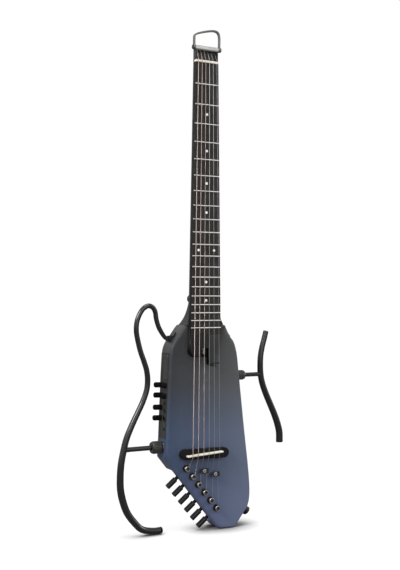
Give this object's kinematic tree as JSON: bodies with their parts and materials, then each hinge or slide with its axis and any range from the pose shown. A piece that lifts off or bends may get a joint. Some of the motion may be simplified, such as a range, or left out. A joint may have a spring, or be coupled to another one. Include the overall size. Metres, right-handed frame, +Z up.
{
  "type": "travel guitar",
  "caption": "Headless electric travel guitar with a narrow slab body, tail-mounted tuners, a sliding bent tube frame on each side and a control panel on the bass side.",
  "frame": {"origin": "on the flat foot at the tip of the body, on the floor", "axes": "+Z up along the neck, -Y out of the front face that carries the strings, +X to the treble side"},
  "size_m": [0.3174, 0.0546, 0.8437],
  "materials": {
    "body_lacquer": "satin lacquer that fades from charcoal at the shoulder to slate blue at the tip",
    "neck_satin": "satin charcoal finish",
    "fretboard_black": "dense black board with bright frets and white dots",
    "bone_white": "off-white, polished",
    "bright_steel": "polished",
    "string_wound": "bronze winding",
    "string_plain": "plain bright wire",
    "dark_bronze": "blackened",
    "battery_case": "painted metal case, plain",
    "light_alloy": "satin",
    "frame_tube": "dark satin coating",
    "black_plastic": "fine matt",
    "black_rubber": "soft matt",
    "circuit_board": "green laminate"
  },
  "bodies": {
    "instrument": {"body": "body_lacquer", "neck": "neck_satin", "back_cover": "black_plastic", "fretboard": "fretboard_black", "nut": "bone_white", "truss_rod": "bright_steel", "head_block": "black_plastic", "clamp_bar": "light_alloy", "hanger_screw_left": "dark_bronze", "hanger_screw_right": "dark_bronze", "bridge_base": "fretboard_black", "piezo_strip": "bright_steel", "saddle": "bone_white", "string_1": "string_plain", "string_2": "string_plain", "string_3": "string_plain", "string_4": "string_wound", "string_5": "string_wound", "string_6": "string_wound", "string_tree_middle": "black_plastic", "string_tree_treble": "black_plastic", "tuner_rail": "dark_bronze", "left_ferrule": "bright_steel", "right_ferrule": "bright_steel", "shoulder_socket": "black_plastic", "strap_button_upper": "black_plastic", "strap_button_lower": "black_plastic", "control_panel": "black_plastic", "preamp_board": "circuit_board", "aux_socket": "black_plastic", "headphone_jack": "black_plastic", "output_jack": "black_plastic", "charging_socket": "black_plastic"},
    "truss_nut": {"truss_nut": "bright_steel"},
    "hanger_loop": {"hanger_loop": "light_alloy"},
    "left_frame": {"left_frame": "frame_tube", "left_frame_cap": "black_rubber"},
    "right_frame": {"right_frame": "frame_tube"},
    "left_collar": {"left_collar": "black_plastic"},
    "right_collar": {"right_collar": "black_plastic"},
    "battery_tray": {"battery_tray": "black_plastic", "battery": "battery_case"},
    "tuner_post_1": {"tuner_post_1": "bright_steel"},
    "tuner_knob_1": {"tuner_knob_1": "black_plastic"},
    "tuner_post_2": {"tuner_post_2": "bright_steel"},
    "tuner_knob_2": {"tuner_knob_2": "black_plastic"},
    "tuner_post_3": {"tuner_post_3": "bright_steel"},
    "tuner_knob_3": {"tuner_knob_3": "black_plastic"},
    "tuner_post_4": {"tuner_post_4": "bright_steel"},
    "tuner_knob_4": {"tuner_knob_4": "black_plastic"},
    "tuner_post_5": {"tuner_post_5": "bright_steel"},
    "tuner_knob_5": {"tuner_knob_5": "black_plastic"},
    "tuner_post_6": {"tuner_post_6": "bright_steel"},
    "tuner_knob_6": {"tuner_knob_6": "black_plastic"},
    "long_knob_1": {"long_knob_1": "black_rubber"},
    "long_knob_2": {"long_knob_2": "black_rubber"},
    "long_knob_3": {"long_knob_3": "black_rubber"},
    "long_knob_4": {"long_knob_4": "black_rubber"},
    "short_knob_1": {"short_knob_1": "black_rubber"},
    "short_knob_2": {"short_knob_2": "black_rubber"}
  },
  "joints": [
    {"name": "truss_nut_turn", "type": "hinge", "parent": "instrument", "child": "truss_nut", "pos_m": [-0.04935, -0.022, 0.30841], "axis": [0, 0, -1], "range_deg": [-180, 180]},
    {"name": "hanger_loop_swing", "type": "hinge", "parent": "instrument", "child": "hanger_loop", "pos_m": [-0.04935, -0.02805, 0.81125], "axis": [1, 0, 0], "range_deg": [-90, 90]},
    {"name": "left_frame_slide", "type": "slide", "parent": "instrument", "child": "left_frame", "axis": [-1, 0, 0], "range_m": [0, 0.03]},
    {"name": "right_frame_slide", "type": "slide", "parent": "instrument", "child": "right_frame", "axis": [1, 0, 0], "range_m": [0, 0.03]},
    {"name": "left_collar_turn", "type": "hinge", "parent": "instrument", "child": "left_collar", "pos_m": [-0.11719, 0, 0.1442], "axis": [-1, 0, 0], "range_deg": [0, 360]},
    {"name": "right_collar_turn", "type": "hinge", "parent": "instrument", "child": "right_collar", "pos_m": [0.02425, 0, 0.25852], "axis": [1, 0, 0], "range_deg": [0, 360]},
    {"name": "battery_tray_slide", "type": "slide", "parent": "instrument", "child": "battery_tray", "axis": [-0.9993, 0, 0.0363], "range_m": [0, 0.022]},
    {"name": "tuner_knob_1_turn", "type": "hinge", "parent": "instrument", "child": "tuner_knob_1", "pos_m": [-0.03153, -0.0035, 0.01977], "axis": [-0.7797, 0, -0.6262], "continuous": true},
    {"name": "tuner_knob_2_turn", "type": "hinge", "parent": "instrument", "child": "tuner_knob_2", "pos_m": [-0.04301, -0.0035, 0.03406], "axis": [-0.7797, 0, -0.6262], "continuous": true},
    {"name": "tuner_knob_3_turn", "type": "hinge", "parent": "instrument", "child": "tuner_knob_3", "pos_m": [-0.05449, -0.0035, 0.04836], "axis": [-0.7797, 0, -0.6262], "continuous": true},
    {"name": "tuner_knob_4_turn", "type": "hinge", "parent": "instrument", "child": "tuner_knob_4", "pos_m": [-0.06596, -0.0035, 0.06265], "axis": [-0.7797, 0, -0.6262], "continuous": true},
    {"name": "tuner_knob_5_turn", "type": "hinge", "parent": "instrument", "child": "tuner_knob_5", "pos_m": [-0.07744, -0.0035, 0.07694], "axis": [-0.7797, 0, -0.6262], "continuous": true},
    {"name": "tuner_knob_6_turn", "type": "hinge", "parent": "instrument", "child": "tuner_knob_6", "pos_m": [-0.08892, -0.0035, 0.09123], "axis": [-0.7797, 0, -0.6262], "continuous": true},
    {"name": "tuner_post_1_turn", "type": "hinge", "parent": "instrument", "child": "tuner_post_1", "pos_m": [-0.02231, -0.0265, 0.03744], "axis": [0, -1, 0], "continuous": true},
    {"name": "tuner_post_2_turn", "type": "hinge", "parent": "instrument", "child": "tuner_post_2", "pos_m": [-0.03379, -0.0265, 0.05173], "axis": [0, -1, 0], "continuous": true},
    {"name": "tuner_post_3_turn", "type": "hinge", "parent": "instrument", "child": "tuner_post_3", "pos_m": [-0.04527, -0.0265, 0.06602], "axis": [0, -1, 0], "continuous": true},
    {"name": "tuner_post_4_turn", "type": "hinge", "parent": "instrument", "child": "tuner_post_4", "pos_m": [-0.05675, -0.0265, 0.08031], "axis": [0, -1, 0], "continuous": true},
    {"name": "tuner_post_5_turn", "type": "hinge", "parent": "instrument", "child": "tuner_post_5", "pos_m": [-0.06822, -0.0265, 0.0946], "axis": [0, -1, 0], "continuous": true},
    {"name": "tuner_post_6_turn", "type": "hinge", "parent": "instrument", "child": "tuner_post_6", "pos_m": [-0.0797, -0.0265, 0.10889], "axis": [0, -1, 0], "continuous": true},
    {"name": "long_knob_1_turn", "type": "hinge", "parent": "instrument", "child": "long_knob_1", "pos_m": [-0.11246, 0.0068, 0.24698], "axis": [-0.9993, 0, 0.0363], "range_deg": [-150, 150]},
    {"name": "long_knob_2_turn", "type": "hinge", "parent": "instrument", "child": "long_knob_2", "pos_m": [-0.11308, 0.0068, 0.23], "axis": [-0.9993, 0, 0.0363], "range_deg": [-150, 150]},
    {"name": "long_knob_3_turn", "type": "hinge", "parent": "instrument", "child": "long_knob_3", "pos_m": [-0.11382, 0.0068, 0.20963], "axis": [-0.9993, 0, 0.0363], "range_deg": [-150, 150]},
    {"name": "long_knob_4_turn", "type": "hinge", "parent": "instrument", "child": "long_knob_4", "pos_m": [-0.11446, 0.0068, 0.19202], "axis": [-0.9993, 0, 0.0363], "range_deg": [-150, 150]},
    {"name": "short_knob_1_turn", "type": "hinge", "parent": "instrument", "child": "short_knob_1", "pos_m": [-0.11245, -0.0071, 0.2474], "axis": [-0.9993, 0, 0.0363], "range_deg": [-150, 150]},
    {"name": "short_knob_2_turn", "type": "hinge", "parent": "instrument", "child": "short_knob_2", "pos_m": [-0.11309, -0.0071, 0.22957], "axis": [-0.9993, 0, 0.0363], "range_deg": [-150, 150]}
  ],
  "couplings": [
    {"joint": "tuner_post_1_turn", "follows": "tuner_knob_1_turn", "ratio": 0.0625},
    {"joint": "tuner_post_2_turn", "follows": "tuner_knob_2_turn", "ratio": 0.0625},
    {"joint": "tuner_post_3_turn", "follows": "tuner_knob_3_turn", "ratio": 0.0625},
    {"joint": "tuner_post_4_turn", "follows": "tuner_knob_4_turn", "ratio": 0.0625},
    {"joint": "tuner_post_5_turn", "follows": "tuner_knob_5_turn", "ratio": 0.0625},
    {"joint": "tuner_post_6_turn", "follows": "tuner_knob_6_turn", "ratio": 0.0625}
  ]
}
